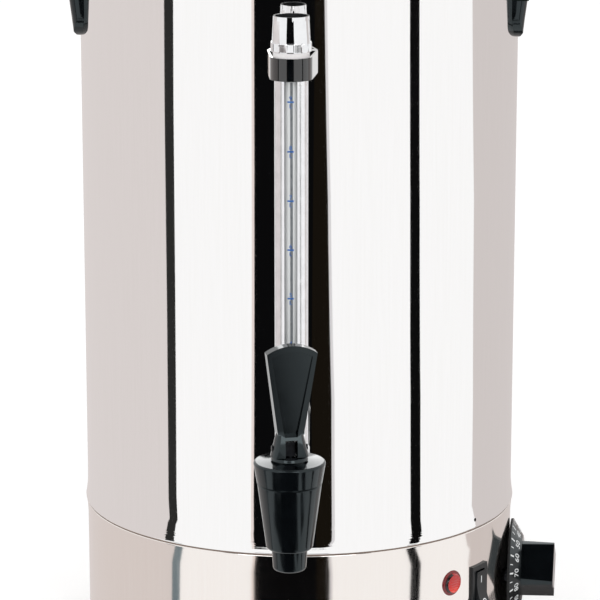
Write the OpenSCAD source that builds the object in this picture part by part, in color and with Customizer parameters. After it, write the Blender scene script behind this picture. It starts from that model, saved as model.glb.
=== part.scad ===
// Hot water urn: a double wall steel tank on an electric base, with a lever tap,
// a sight gauge on the tap's shank, two bow handles and a lift-off lid.
// The axis of the urn is Z, the floor is z = 0 and the tap faces -Y.

/* [Body] */
// Outer diameter of the shell and of the skirt
body_d = 240; // [220:1:280]
// Height of the seam between skirt and shell above the floor
base_h = 85; // [80:1:100]
// Height of the outer shell above the seam
shell_h = 319; // [305:1:360]
// Sheet thickness of shell and skirt
sheet_t = 1; // [0.8:0.1:1.4]
// Thickness of the gasket in the seam
seam_t = 0.6; // [0.4:0.1:1.2]
// Outward flare of the shell at the seam
flare = 1.1; // [0.6:0.1:1.5]
// Height over which the shell curves out to the seam
flare_h = 13; // [9:0.5:16]
// Diameter of the weep hole above the seam
weep_d = 2; // [1.5:0.1:3]

/* [Tank] */
// Air gap between the tank and the shell
wall_gap = 5.8; // [4:0.1:8]
// Sheet thickness of the tank
tank_t = 1.2; // [0.8:0.1:1.6]
// Height of the tank floor above the seam
floor_h = 16; // [15:0.5:22]
// Height of the floor's turned down edge
floor_edge = 8; // [6:0.5:9]
// Radius of the rolled rim bead
bead_r = 3.2; // [2.6:0.1:4]

/* [Base] */
// Height of the shoulder that carries the skirt
shoulder_h = 13; // [12:0.5:16]
// Height that the rubber ring lifts the base ring
foot_gap = 2; // [1:0.5:4]
// Width of the rubber ring
foot_w = 10; // [6:0.5:12]
// Thickness of the base ring's web
web_t = 3; // [2:0.5:4]
// Diameter of the bottom cover
cover_d = 140; // [120:1:160]
// Diameter of the cord hole in the gland
cord_d = 8; // [6:0.5:10]
// Height of the cord gland above the floor
gland_z = 42; // [36:1:50]

/* [Heater] */
// Diameter of the heat plate under the tank
plate_d = 170; // [150:1:190]
// Thickness of the heat plate
plate_t = 6; // [5:0.5:6.5]
// Diameter of the heating tube
tube_d = 8.4; // [7:0.1:9]
// Diameter of the tie stud's thread
stud_d = 8; // [6:0.5:10]

/* [Controls] */
// Direction of the pilot lamp round the body
lamp_az = 45.3; // [40:0.1:46]
// Depth of the pilot lamp below the seam
lamp_drop = 26.6; // [22:0.1:32]
// Diameter of the pilot lamp's flange
lamp_d = 14.2; // [12:0.1:15]
// Direction of the rocker switch round the body
switch_az = 56.7; // [55:0.1:58]
// Depth of the rocker switch below the seam
switch_drop = 36.3; // [32:0.1:40]
// Width of the switch bezel
bezel_w = 15; // [14:0.1:17]
// Height of the switch bezel
bezel_h = 29; // [27:0.5:31]
// Angle from the switch's middle position to each end
rocker_tilt = 10; // [6:0.5:12]
// Direction of the thermostat knob round the body
knob_az = 84; // [82:0.5:92]
// Depth of the thermostat knob below the seam
knob_drop = 41; // [36:0.5:44]
// Diameter of the knob's dial skirt
dial_d = 56; // [46:0.5:58]
// Width of the knob's square grip
grip_w = 26; // [18:0.5:27]
// Length of the knob from its rim to its end
knob_len = 25; // [20:0.5:30]
// Turn of the square grip at rest
grip_turn = 35; // [0:1:45]

/* [Tap] */
// Distance of the tap's axis from the shell
tap_out = 54; // [52:0.5:60]
// Height of the tap's shank above the seam
shank_h = 42; // [40:0.5:44]
// Diameter of the shank's thread
shank_d = 18; // [16:0.5:20]
// Depth of the spout's mouth below the shank
spout_drop = 32; // [28:0.5:36]
// Depth of the step above the spout below the shank
step_drop = 18.7; // [17:0.1:24]
// Height of the tap body's top above the shank
cone_rise = 14; // [12:0.5:18]
// Height of the bonnet above the tap body
bonnet_h = 14.3; // [13:0.1:18]
// Diameter of the bonnet
bonnet_d = 36.8; // [36:0.1:40]
// Diameter of the tap's body at its top
cone_top_d = 33; // [32:0.1:34]
// Diameter of the tap's body above the spout
cone_low_d = 24.2; // [24:0.1:28]
// Diameter of the water way in the spout
spout_bore = 11; // [8:0.1:11.4]
// Diameter of the valve stem
stem_d = 5; // [4:0.1:6]
// Radial clearance of turning and sliding shafts
run_gap = 0.05; // [0.02:0.01:0.1]
// Width of the lever at its top
lever_w = 26; // [20:0.5:32]
// Height of the lever above its foot
lever_h = 59; // [45:1:70]
// Thickness of the lever's blade
lever_t = 7; // [6:0.1:9]
// Lean of the lever's top towards the front
lever_lean = 5; // [0:0.5:8]
// Turn of the lever about the tap's axis
lever_turn = 13; // [0:1:20]
// Diameter of the lever's pin
pin_d = 3.2; // [2.4:0.1:4]

/* [Gauge] */
// Distance of the gauge's axis from the shell
gauge_out = 22; // [20:0.5:26]
// Outer diameter of the chrome shield tube
shield_d = 17.2; // [16.6:0.1:18.4]
// Width of the shield's front slot
slot_w = 6.7; // [4:0.1:8]
// Outer diameter of the glass tube
glass_d = 10; // [8:0.1:11]
// Depth of the shield's top below the rim
shield_drop = 48.8; // [36:0.1:80]
// Height of the fitting's top above the shank
fit_rise = 24; // [20:0.5:30]
// Height of the wall clip
clip_h = 11.5; // [8:0.5:16]

/* [Handles] */
// Depth of the handles' lower tips below the rim
handle_drop = 55.5; // [54:0.5:80]
// Rise of the grip's middle above the lower tips
grip_rise = 39; // [34:0.5:44]
// Height of the grip
grip_h = 20; // [16:0.5:22]
// Distance between the two feet of a handle
feet_gap = 54; // [50:0.5:80]
// Width of a handle's foot
foot_pad_w = 13; // [12:0.5:16]
// Reach of the grip from the shell
reach = 40; // [34:0.5:50]
// Thickness of the grip
bar_t = 15; // [12:0.5:18]

/* [Lid] */
// Rise of the lid's dome
dome_h = 14; // [8:0.5:24]
// Diameter of the lid's knob
lid_knob_d = 38; // [30:1:50]
// Height of the lid's knob
lid_knob_h = 24; // [20:0.5:32]
// Free play between the lid's collar and the tank
lid_gap = 1.5; // [0.8:0.1:3]
// Height of the lid's collar
collar_h = 14; // [8:0.5:20]

/* [Hidden] */
$fn = 96;

R = body_d / 2;
r_skin = R - sheet_t;
r_tank_out = r_skin - wall_gap;
r_tank = r_tank_out - tank_t;
z_rim = base_h + shell_h;
z_floor = base_h + floor_h;
z_under = z_floor - tank_t;
flange_w = 8;
flange_r = R - flange_w;
weld_gap = 0.1;
lip_r = 0.7;
air = 0.3;

// Base heights
z_web = shoulder_h - 1;
foot_h = foot_gap + 3;
foot_r = R - 4 - foot_w;
spigot_t = 4;
cover_r = cover_d / 2;
cover_t = 1.5;
hole_r = cover_r - 14;

// Heater heights
z_plate = z_under - plate_t;
z_clamp = z_plate - tube_d / 2;
clamp_t = 2;
tube_ring_r = plate_d / 2 - 16;
nut_flats = stud_d + 5;
leg_len = 16;
bulb_r = 3.5;
bulb_len = 48;
bulb_gap = 6.5;
bulb_end = nut_flats / sqrt(3) + bulb_gap;
capillary_r = 1.2;
bend_r = 8;
capillary_x = bulb_end + bulb_len - 2;

// Tap heights
seam = base_h;
y_tap = R + tap_out;
y_gauge = R + gauge_out;
z_shank = seam + shank_h;
z_spout = z_shank - spout_drop;
z_step = z_shank - step_drop;
z_cone = z_shank + cone_rise;
z_collar = z_cone + bonnet_h;
z_bonnet = z_collar - 2.3;
bonnet_rim = 10.6;
neck_r = cone_top_d / 2 - 2.4;
z_lever = z_collar + air;
pin_up = 4;
z_pin = z_lever + pin_up;
tang_w = stem_d + 0.6;
seat_z = z_step + 4;
chamber_r = 10;
tail_d = 15;
tail_len = 28;
sleeve_d = 22;
sleeve_gap = 20;
pin_len = 18.6;

// Gauge heights
z_fit = z_shank + fit_rise;
z_shield = z_rim - shield_drop;
seal_t = 2.7;
z_cap = z_shield + seal_t;
cap_h = 17.9;

// Handle sizes
z_tip = z_rim - handle_drop;
pad_out = 4.2;
tip_h = 15;
foot_lean = atan((pad_out - 1.6) / 21);
z_grip = z_tip + grip_rise;
washer_r = 4.5;
washer_x = sqrt(r_skin * r_skin - pow(feet_gap / 2 + washer_r, 2)) - 0.6;

// Lid heights
z_lid = z_rim + bead_r + air;
lid_t = 1;
lid_r = R + 1;
dome_base = r_tank - 4;
dome_rad = (dome_base * dome_base + dome_h * dome_h) / (2 * dome_h);
z_dome = z_lid + lid_t + dome_h;

// Control positions
z_lamp = seam - lamp_drop;
z_switch = seam - switch_drop;
z_knob = seam - knob_drop;
knob_off = R + 0.7;
pivot_off = R - 3.5;
bezel_out = R + 1.2;
slot_h = bezel_h - 6;
shaft_r = 3;
case_back = 32;
case_w = 34;
case_d = 22;
lug_w = 38;
lug_h = 12;
lug_d = 14;
lug_hole = 14;

// Cutout and terminal places
cutout_y = 40;
cutout_hole = 12;
terminal_w = 44;
terminal_d = 18;
terminal_h = 16;
terminal_y = 31;

// Local frame on the wall: x is the tangent, y is up, z is the distance from the urn's axis
module at_wall(az, z) {
  translate([0, 0, z]) rotate([0, 0, az]) rotate([90, 0, 0]) children();
}

module core(r) {
  translate([0, 0, -5]) cylinder(r = r, h = 700, $fn = 720);
}

module ring(r_in, r_out, h) {
  difference() {
    cylinder(r = r_out, h = h);
    translate([0, 0, -1]) cylinder(r = r_in, h = h + 2);
  }
}

module hexagon(flats, h) {
  linear_extrude(h) circle(r = flats / sqrt(3), $fn = 6);
}

module hex_nut(flats, bore_r, h) {
  difference() {
    hexagon(flats, h);
    translate([0, 0, -1]) cylinder(r = bore_r, h = h + 2);
  }
}

module handle_places() {
  for (side = [-90, 90]) for (s = [-1, 1])
    rotate([0, 0, side]) translate([s * feet_gap / 2, 0, z_grip - 10]) rotate([90, 0, 0]) children();
}

// Shell, tank and seam
module outer_shell() {
  color("silver") difference() {
    rotate_extrude($fn = 180) translate([0, seam + seam_t / 2])
      polygon(concat(
        [[flange_r, 0], [flange_r, sheet_t], [r_skin + flare - 0.5, sheet_t], [r_skin, 8.4]],
        [[r_skin, shell_h - seam_t / 2], [R, shell_h - seam_t / 2]],
        [for (i = [0:12]) [R + flare * pow(i / 13, 2), flare_h - (flare_h - lip_r) * i / 13]],
        [for (a = [0:-15:-90]) [R + flare - lip_r + lip_r * cos(a), lip_r + lip_r * sin(a)]]));
    at_wall(0, z_shank) cylinder(d = shank_d, h = R + 20);
    at_wall(0, z_shield - clip_h / 2) cylinder(r = 1.6, h = R + 20);
    at_wall(54.4, seam + 5) translate([0, 0, R - 15]) cylinder(d = weep_d, h = 30);
    handle_places() cylinder(r = 2, h = R + 20);
  }
}

module inner_tank() {
  color("gainsboro") difference() {
    rotate_extrude($fn = 180) difference() {
      union() {
        translate([r_tank, z_under - floor_edge]) square([tank_t, z_rim - z_under + floor_edge]);
        translate([r_tank, z_rim]) square([R - r_tank, tank_t]);
        translate([R - sheet_t / 2, z_rim]) circle(bead_r, $fn = 48);
      }
      translate([r_skin, z_rim - 10]) square([sheet_t, 10]);
    }
    at_wall(0, z_shank) cylinder(d = shank_d, h = R + 20);
  }
}

module tank_floor() {
  rim = r_tank - weld_gap;
  color("gainsboro") rotate_extrude($fn = 180) {
    translate([0, z_under]) square([rim, tank_t]);
    translate([rim - tank_t, z_under - floor_edge]) square([tank_t, floor_edge + tank_t]);
  }
}

module seam_gasket() {
  color("black") translate([0, 0, seam - seam_t / 2]) ring(flange_r + 1, R - 0.4, seam_t);
}

// Skirt, base ring, foot and cover
module base_skirt() {
  color("silver") difference() {
    rotate_extrude($fn = 180) translate([0, seam - seam_t / 2])
      polygon(concat(
        [[flange_r, 0], [flange_r, -sheet_t], [r_skin + 0.2, -sheet_t], [r_skin, -6.3]],
        [[r_skin, shoulder_h - seam + seam_t / 2], [R, shoulder_h - seam + seam_t / 2]],
        [for (i = [0:9]) [R + 0.7 * pow(i / 10, 2), (flare_h - lip_r) * 0.8 * (i / 10 - 1) - lip_r]],
        [for (a = [0:15:90]) [R + 0.7 - lip_r + lip_r * cos(a), lip_r * sin(a) - lip_r]]));
    at_wall(lamp_az, z_lamp) cylinder(d = lamp_d - 4, h = R + 20);
    at_wall(switch_az, z_switch) translate([0, 0, R / 2 + 100])
      cube([bezel_w - 2.4, bezel_h - 2.4, 200], true);
    at_wall(knob_az, z_knob) {
      cylinder(r = 5, h = R + 20);
      for (s = [-14, 14]) translate([s, 0, 0]) cylinder(r = 2, h = R + 20);
    }
    at_wall(180, gland_z) cylinder(d = cord_d + 8, h = R + 20);
  }
}

module base_ring() {
  color("dimgray") rotate_extrude($fn = 180) difference() {
    union() {
      translate([foot_r - 3, foot_gap]) square([R - foot_r + 3, shoulder_h - foot_gap]);
      translate([hole_r, z_web]) square([r_skin - hole_r, web_t]);
      translate([r_skin - spigot_t, z_web]) square([spigot_t, 8]);
    }
    translate([foot_r, 0]) square([foot_w, foot_h]);
  }
}

module non_slip_ring() {
  color("black") ring(foot_r, foot_r + foot_w, foot_h);
}

module bottom_cover() {
  color("lightgray") translate([0, 0, z_web - cover_t]) ring(stud_d / 2, cover_r, cover_t);
}

module tie_stud() {
  color("gray") translate([0, 0, foot_gap + 0.5]) cylinder(d = stud_d, h = z_under - foot_gap - 0.5);
}

module cover_washer() {
  color("gray") translate([0, 0, z_web - cover_t - 1.5]) ring(stud_d / 2, stud_d + 4, 1.5);
}

module cover_nut() {
  color("gray") translate([0, 0, z_web - cover_t - 6.5]) hex_nut(nut_flats, stud_d / 2, 5);
}

// Heater stack under the tank floor
module heat_plate() {
  color("lightgray") difference() {
    translate([0, 0, z_plate]) ring(stud_d / 2, plate_d / 2, plate_t);
    translate([0, 0, z_plate]) rotate_extrude() translate([tube_ring_r, 0]) circle(d = tube_d);
  }
}

module heating_ring() {
  color("darkgray") translate([0, 0, z_plate]) {
    rotate([0, 0, 105]) rotate_extrude(angle = 330) translate([tube_ring_r, 0]) circle(d = tube_d);
    for (a = [75, 105]) rotate([0, 0, a]) translate([tube_ring_r, 0, -leg_len])
      cylinder(d = tube_d - 3, h = leg_len);
  }
}

module clamp_plate() {
  color("lightgray") difference() {
    translate([0, 0, z_clamp - clamp_t]) ring(stud_d / 2, plate_d / 2 - 8, clamp_t);
    for (a = [75, 105]) rotate([0, 0, a]) translate([tube_ring_r, 0, 0]) cylinder(d = tube_d, h = 200);
    for (s = [-cutout_hole, cutout_hole]) translate([s, -cutout_y, 0]) cylinder(r = 1.5, h = 200);
  }
}

module clamp_nut() {
  color("gray") translate([0, 0, z_clamp - clamp_t - 6.5]) hex_nut(nut_flats, stud_d / 2, 6.5);
}

module thermal_cutout() {
  color("ivory") translate([0, -cutout_y, z_clamp - clamp_t]) {
    translate([0, 0, -9]) cylinder(r = 8, h = 9);
    difference() {
      translate([-cutout_hole - 4, -4, -1.2]) cube([2 * cutout_hole + 8, 8, 1.2]);
      for (s = [-cutout_hole, cutout_hole]) translate([s, 0, -5]) cylinder(r = 1.5, h = 10);
    }
    for (s = [-4.5, 4.5]) translate([s - 0.4, -3, -18]) cube([0.8, 6, 10]);
  }
}

module cutout_screws() {
  color("gray") translate([0, -cutout_y, z_clamp - clamp_t])
  for (s = [-cutout_hole, cutout_hole]) translate([s, 0, 0]) {
    translate([0, 0, -1.2]) cylinder(r = 1.5, h = 1.2 + clamp_t);
    translate([0, 0, -3.4]) cylinder(r = 2.8, h = 2.2);
  }
}

// Thermostat behind the knob
module thermostat_body() {
  color("ivory") difference() {
    intersection() {
      at_wall(knob_az, z_knob) {
        translate([-case_w / 2, -case_w / 2, R - case_back]) cube([case_w, case_w, case_d]);
        translate([-lug_w / 2, -lug_h / 2, R - lug_d + 2]) cube([lug_w, lug_h, lug_d]);
      }
      core(r_skin);
    }
    at_wall(knob_az, z_knob) {
      translate([0, 0, R - 26]) cylinder(r = shaft_r + run_gap, h = 40);
      for (s = [-lug_hole, lug_hole]) translate([s, 0, R - 10]) cylinder(r = 2, h = 40);
    }
  }
}

module thermostat_screws() {
  color("gray") difference() {
    at_wall(knob_az, z_knob) for (s = [-lug_hole, lug_hole]) translate([s, 0, 0]) {
      translate([0, 0, R - 10]) cylinder(r = 2, h = 11);
      translate([0, 0, R - 5]) cylinder(r = 3.6, h = 6.6);
    }
    difference() {
      core(R);
      at_wall(knob_az, z_knob) for (s = [-lug_hole, lug_hole]) translate([s, 0, R - 10])
        cylinder(r = 2, h = 11);
    }
  }
}

module thermostat_bulb() {
  color("peru") at_wall(knob_az, z_knob) {
    up = z_clamp - clamp_t - bulb_r - z_knob;
    run = R - case_back - capillary_x - bend_r;
    translate([0, 0, capillary_x + bend_r]) cylinder(r = capillary_r, h = run);
    translate([0, bend_r, capillary_x + bend_r]) rotate([0, 90, 0]) rotate([0, 0, -90])
      rotate_extrude(angle = 90) translate([bend_r, 0]) circle(capillary_r, $fn = 24);
    translate([0, bend_r, capillary_x]) rotate([-90, 0, 0]) cylinder(r = capillary_r, h = up - bend_r);
    translate([0, up, bulb_end]) cylinder(r = bulb_r, h = bulb_len);
  }
}

// Wiring terminals on the cover
module terminal_block() {
  color("ivory") difference() {
    translate([-terminal_w / 2, terminal_y - terminal_d / 2, z_web])
      cube([terminal_w, terminal_d, terminal_h]);
    for (i = [-1, 0, 1]) translate([i * 13, terminal_y, z_web + 10]) {
      rotate([90, 0, 0]) cylinder(r = 2, h = 40, center = true);
      cylinder(r = 2, h = 20);
    }
    for (s = [-6.5, 6.5]) translate([s, terminal_y, z_web - 1]) {
      cylinder(r = 1.5, h = 40);
      translate([0, 0, 9]) cylinder(r = 2.9, h = 40);
    }
  }
}

module terminal_screws() {
  color("gray") for (s = [-6.5, 6.5]) translate([s, terminal_y, z_web]) {
    cylinder(r = 1.5, h = 8);
    translate([0, 0, 8]) cylinder(r = 2.9, h = 2);
  }
}

// Rocker switch
module switch_housing() {
  color("black") difference() {
    union() {
      difference() {
        at_wall(switch_az, z_switch) translate([-bezel_w / 2, -bezel_h / 2, R - 6])
          cube([bezel_w, bezel_h, bezel_out - R + 6]);
        core(R);
      }
      at_wall(switch_az, z_switch) translate([-bezel_w / 2 + 1.2, -bezel_h / 2 + 1.2, R - 24])
        cube([bezel_w - 2.4, bezel_h - 2.4, 25]);
      at_wall(switch_az, z_switch) for (s = [-8, 0, 8]) translate([-3, s - 0.4, R - 34]) cube([6, 0.8, 11]);
    }
    at_wall(switch_az, z_switch) {
      translate([-bezel_w / 2 + 2.9, -slot_h / 2, pivot_off - 5]) cube([bezel_w - 5.8, slot_h, 40]);
      translate([0, 0, pivot_off]) rotate([0, 90, 0])
        cylinder(r = 1.2 + run_gap, h = bezel_w - 3.6, center = true);
    }
  }
}

module switch_rocker() {
  half = slot_h / 2 - 1.5;
  dip = half * tan(rocker_tilt);
  dish_r = (half * half + dip * dip) / (2 * dip);
  wide = bezel_w - 5.8 - 2 * air;
  color("dimgray") at_wall(switch_az, z_switch) translate([0, 0, pivot_off]) rotate([-rocker_tilt, 0, 0]) {
    translate([-wide / 2, 0, 0]) rotate([0, 0, 90]) rotate([90, 0, 0]) linear_extrude(wide) difference() {
      polygon([[half, 6 + dip], [half - 0.6, 2.5], [4, -2], [-4, -2], [0.6 - half, 2.5], [-half, 6 + dip]]);
      translate([0, 6 + dish_r]) circle(dish_r, $fn = 180);
    }
    rotate([0, 90, 0]) cylinder(r = 1.2, h = bezel_w - 4.2, center = true);
  }
}

// Pilot lamp
module pilot_lens() {
  stem = lamp_d - 4;
  color("red") difference() {
    at_wall(lamp_az, z_lamp) {
      translate([0, 0, R - 12]) cylinder(d = stem, h = 13);
      translate([0, 0, R - 1]) cylinder(d = lamp_d, h = 1.5);
      translate([0, 0, R + 0.5]) cylinder(d1 = lamp_d - 0.8, d2 = lamp_d - 3.6, h = 1.8);
    }
    difference() {
      core(R);
      at_wall(lamp_az, z_lamp) translate([0, 0, R - 12]) cylinder(d = stem, h = 14);
    }
  }
}

module pilot_body() {
  color("ivory") difference() {
    intersection() {
      at_wall(lamp_az, z_lamp) {
        translate([0, 0, R - 24]) cylinder(d = lamp_d - 1, h = 26);
        for (s = [-3, 3]) translate([s - 0.4, -2.4, R - 32]) cube([0.8, 4.8, 10]);
      }
      core(r_skin);
    }
    at_wall(lamp_az, z_lamp) translate([0, 0, R - 12]) cylinder(d = lamp_d - 4, h = 20);
  }
}

// Cord gland at the back
module cord_gland() {
  color("black") difference() {
    union() {
      difference() {
        at_wall(180, gland_z) translate([0, 0, R - 4]) cylinder(d = cord_d + 14, h = 7);
        core(R);
      }
      at_wall(180, gland_z) translate([0, 0, R - 16]) cylinder(d = cord_d + 8, h = 18);
    }
    at_wall(180, gland_z) translate([0, 0, R - 20]) cylinder(d = cord_d, h = 40);
  }
}

module gland_nut() {
  color("black") intersection() {
    at_wall(180, gland_z) translate([0, 0, R - 9]) hex_nut(cord_d + 14, cord_d / 2 + 4, 12);
    core(r_skin);
  }
}

// Bow handle on the +X side, feet on the shell
module bow_handle() {
  difference() {
    union() {
      for (s = [-1, 1]) intersection() {
        translate([0, s * feet_gap / 2 + 40, 0]) rotate([90, 0, 0]) linear_extrude(80) {
          polygon([[R - 14, z_tip], [R, z_tip], [R + 1.6, z_tip + 3], [R + 2.4, z_tip + 10.7],
            [R + pad_out, z_tip + 24], [R + pad_out, z_grip + grip_h / 2], [R - 14, z_grip + grip_h / 2]]);
        }
        translate([R - 14, s * (feet_gap - foot_pad_w) / 2, z_tip + tip_h]) rotate([90, 0, 90])
          linear_extrude(60) intersection() {
            union() {
              scale([foot_pad_w, tip_h]) circle(1, $fn = 96);
              translate([-foot_pad_w, 0]) square([2 * foot_pad_w, 80]);
            }
            translate([s > 0 ? 0 : -foot_pad_w, -tip_h]) square([foot_pad_w, 100]);
          }
        translate([R + 1.6 - foot_pad_w / 2, s * feet_gap / 2, z_tip + 3]) rotate([0, foot_lean, 0]) {
          translate([0, 0, -20]) cylinder(d = foot_pad_w, h = 90);
          translate([-30, -foot_pad_w / 2, -20]) cube([30, foot_pad_w, 90]);
        }
      }
      intersection() {
        translate([0, 100, 0]) rotate([90, 0, 0]) linear_extrude(200) {
          translate([R - 14, z_grip - grip_h / 2]) square([reach + 14 - grip_h / 2, grip_h]);
          translate([R + reach - grip_h / 2, z_grip]) circle(d = grip_h);
          difference() {
            translate([R - 4, z_grip - grip_h / 2 - 8]) square([pad_out + 12, 9]);
            translate([R + pad_out + 8, z_grip - grip_h / 2 - 8]) circle(8);
          }
        }
        translate([0, 0, z_tip]) linear_extrude(90) bow_plan();
      }
    }
    core(R);
    translate([0, 0, z_grip - 10]) for (s = [-1, 1]) translate([0, s * feet_gap / 2, 0]) rotate([0, 90, 0])
      cylinder(r = 2, h = R + pad_out - 2);
  }
}

module bow_plan() {
  out_y = feet_gap / 2 + foot_pad_w / 2;
  in_y = feet_gap / 2 - foot_pad_w / 2;
  in_x = R + reach - bar_t;
  difference() {
    union() {
      translate([R - 14, -out_y]) square([reach, 2 * out_y]);
      translate([R - 14, 14 - out_y]) square([reach + 14, 2 * out_y - 28]);
      for (s = [-1, 1]) translate([R + reach - 14, s * (out_y - 14)]) circle(14);
    }
    translate([R - 20, -in_y]) square([in_x - R + 14, 2 * in_y]);
    translate([R - 20, 6 - in_y]) square([in_x - R + 20, 2 * in_y - 12]);
    for (s = [-1, 1]) translate([in_x - 6, s * (in_y - 6)]) circle(6);
  }
}

module handle_left() {
  color("black") mirror([1, 0, 0]) bow_handle();
}

module handle_right() {
  color("black") bow_handle();
}

module handle_washers() {
  color("gray") difference() {
    intersection() {
      handle_places() translate([0, 0, washer_x]) cylinder(r = washer_r, h = r_skin - washer_x);
      core(r_skin);
    }
    handle_places() cylinder(r = 2, h = R + 20);
  }
}

module handle_screws() {
  color("gray") handle_places() {
    translate([0, 0, washer_x - 1]) cylinder(r = 2, h = R + pad_out - 1 - washer_x);
    translate([0, 0, washer_x - 1.8]) cylinder(r = 3.4, h = 1.8);
  }
}

// Gauge fitting and its fixing through both walls
module gauge_fitting() {
  color("gainsboro") difference() {
    union() {
      at_wall(0, z_shank) {
        translate([0, 0, r_tank - 15]) cylinder(d = shank_d, h = gauge_out + R - r_tank + 15);
        translate([0, 0, R + 2]) cylinder(d = shank_d + 8, h = 4);
        translate([0, 0, R + 2]) cylinder(d = sleeve_d, h = tap_out - sleeve_gap);
      }
      translate([0, -y_gauge, z_shank]) cylinder(d = shield_d + 1.6, h = z_fit - z_shank);
    }
    at_wall(0, z_shank) {
      translate([0, 0, r_tank - 20]) cylinder(r = 5, h = R + gauge_out - r_tank + 24);
      translate([0, 0, R + tap_out - tail_len]) cylinder(d = tail_d, h = 40);
    }
    translate([0, -y_gauge, z_shank]) cylinder(r = 2.5, h = 60);
    translate([0, -y_gauge, z_fit - 9]) cylinder(d = glass_d, h = 60);
  }
}

module shank_seal() {
  color("black") difference() {
    at_wall(0, z_shank) translate([0, 0, R - 6]) cylinder(d = shank_d + 8, h = 8);
    core(R);
    at_wall(0, z_shank) cylinder(d = shank_d, h = R + 20);
  }
}

module wall_spacer() {
  color("ivory") difference() {
    intersection() {
      at_wall(0, z_shank) translate([0, 0, r_tank - 10]) cylinder(d = shank_d + 6, h = 40);
      core(r_skin);
    }
    core(r_tank_out);
    at_wall(0, z_shank) cylinder(d = shank_d, h = R + 20);
  }
}

module shank_washer() {
  color("black") difference() {
    intersection() {
      at_wall(0, z_shank) translate([0, 0, r_tank - 3.5]) cylinder(d = shank_d + 10, h = 10);
      core(r_tank);
    }
    at_wall(0, z_shank) cylinder(d = shank_d, h = R + 20);
  }
}

module shank_nut() {
  color("gainsboro") at_wall(0, z_shank) translate([0, 0, r_tank - 10.5])
    hex_nut(shank_d + 8, shank_d / 2, 7);
}

// Tap
module tap_body() {
  shank_end = R + tap_out - tail_len;
  color("black") difference() {
    union() {
      translate([0, -y_tap, 0]) rotate_extrude() {
        translate([0, z_spout]) square([6.8, 2]);
        translate([6.8, z_spout + 1.8]) circle(1.8, $fn = 32);
        polygon([[0, z_spout + 1.8], [8.6, z_spout + 1.8], [9.2, z_step - 2], [9.2, z_step], [0, z_step]]);
        translate([0, z_step - 2]) square([cone_low_d / 2 - 2, 3]);
        translate([cone_low_d / 2 - 2, z_step]) circle(2, $fn = 32);
        polygon([[0, z_step], [cone_low_d / 2, z_step], [cone_top_d / 2, z_cone], [0, z_cone]]);
        translate([0, z_cone]) square([neck_r, 8]);
      }
      at_wall(0, z_shank) translate([0, 0, shank_end]) cylinder(d = tail_d, h = tail_len);
    }
    translate([0, -y_tap, z_spout - 1]) cylinder(d = spout_bore, h = seat_z - z_spout + 2);
    translate([0, -y_tap, seat_z]) cylinder(r = chamber_r, h = z_collar - seat_z);
    at_wall(0, z_shank) translate([0, 0, shank_end - 1]) cylinder(r = 4.5, h = tail_len);
  }
}

module tap_bonnet() {
  color("black") translate([0, -y_tap, 0]) difference() {
    rotate_extrude() {
      polygon([[0, z_cone], [cone_top_d / 2 + 0.1, z_cone], [bonnet_d / 2, z_cone + bonnet_rim],
        [bonnet_d / 2 - 1.2, z_cone + bonnet_rim + 1], [0, z_cone + bonnet_rim + 1]]);
      translate([bonnet_d / 2 - 1.2, z_cone + bonnet_rim]) circle(1.2, $fn = 32);
      polygon([[0, z_cone + bonnet_rim], [bonnet_d / 2 - 1.2, z_cone + bonnet_rim + 1.2],
        [bonnet_d / 2 - 3, z_bonnet], [9.4, z_bonnet + 0.8], [9, z_collar], [0, z_collar]]);
    }
    translate([0, 0, z_cone - 1]) cylinder(r = neck_r, h = 9);
    cylinder(r = stem_d / 2 + run_gap, h = 700);
  }
}

module valve_stem() {
  color("gray") translate([0, -y_tap, 0]) rotate([0, 0, lever_turn]) difference() {
    union() {
      translate([0, 0, seat_z + air + 2]) cylinder(d = stem_d, h = z_pin - seat_z - air - 2 - 3.6);
      translate([0, 0, z_pin - 3.7]) intersection() {
        translate([-tang_w / 2, -stem_d / 2, 0]) cube([tang_w, stem_d, 7]);
        cylinder(d = tang_w + 1.4, h = 7);
      }
    }
    translate([0, 0, z_pin]) rotate([0, 90, 0]) cylinder(d = pin_d, h = 40, center = true);
  }
}

module valve_cup() {
  color("ivory") translate([0, -y_tap, seat_z + air]) difference() {
    union() {
      cylinder(r1 = 8.6, r2 = 8.6, h = 3);
      translate([0, 0, 3]) cylinder(r1 = 8.6, r2 = 4.4, h = 8);
    }
    translate([0, 0, 2]) cylinder(d = stem_d, h = 20);
  }
}

module lever_pin() {
  color("gray") translate([0, -y_tap, z_pin]) rotate([0, 0, lever_turn]) rotate([0, 90, 0])
    cylinder(d = pin_d, h = pin_len, center = true);
}

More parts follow.
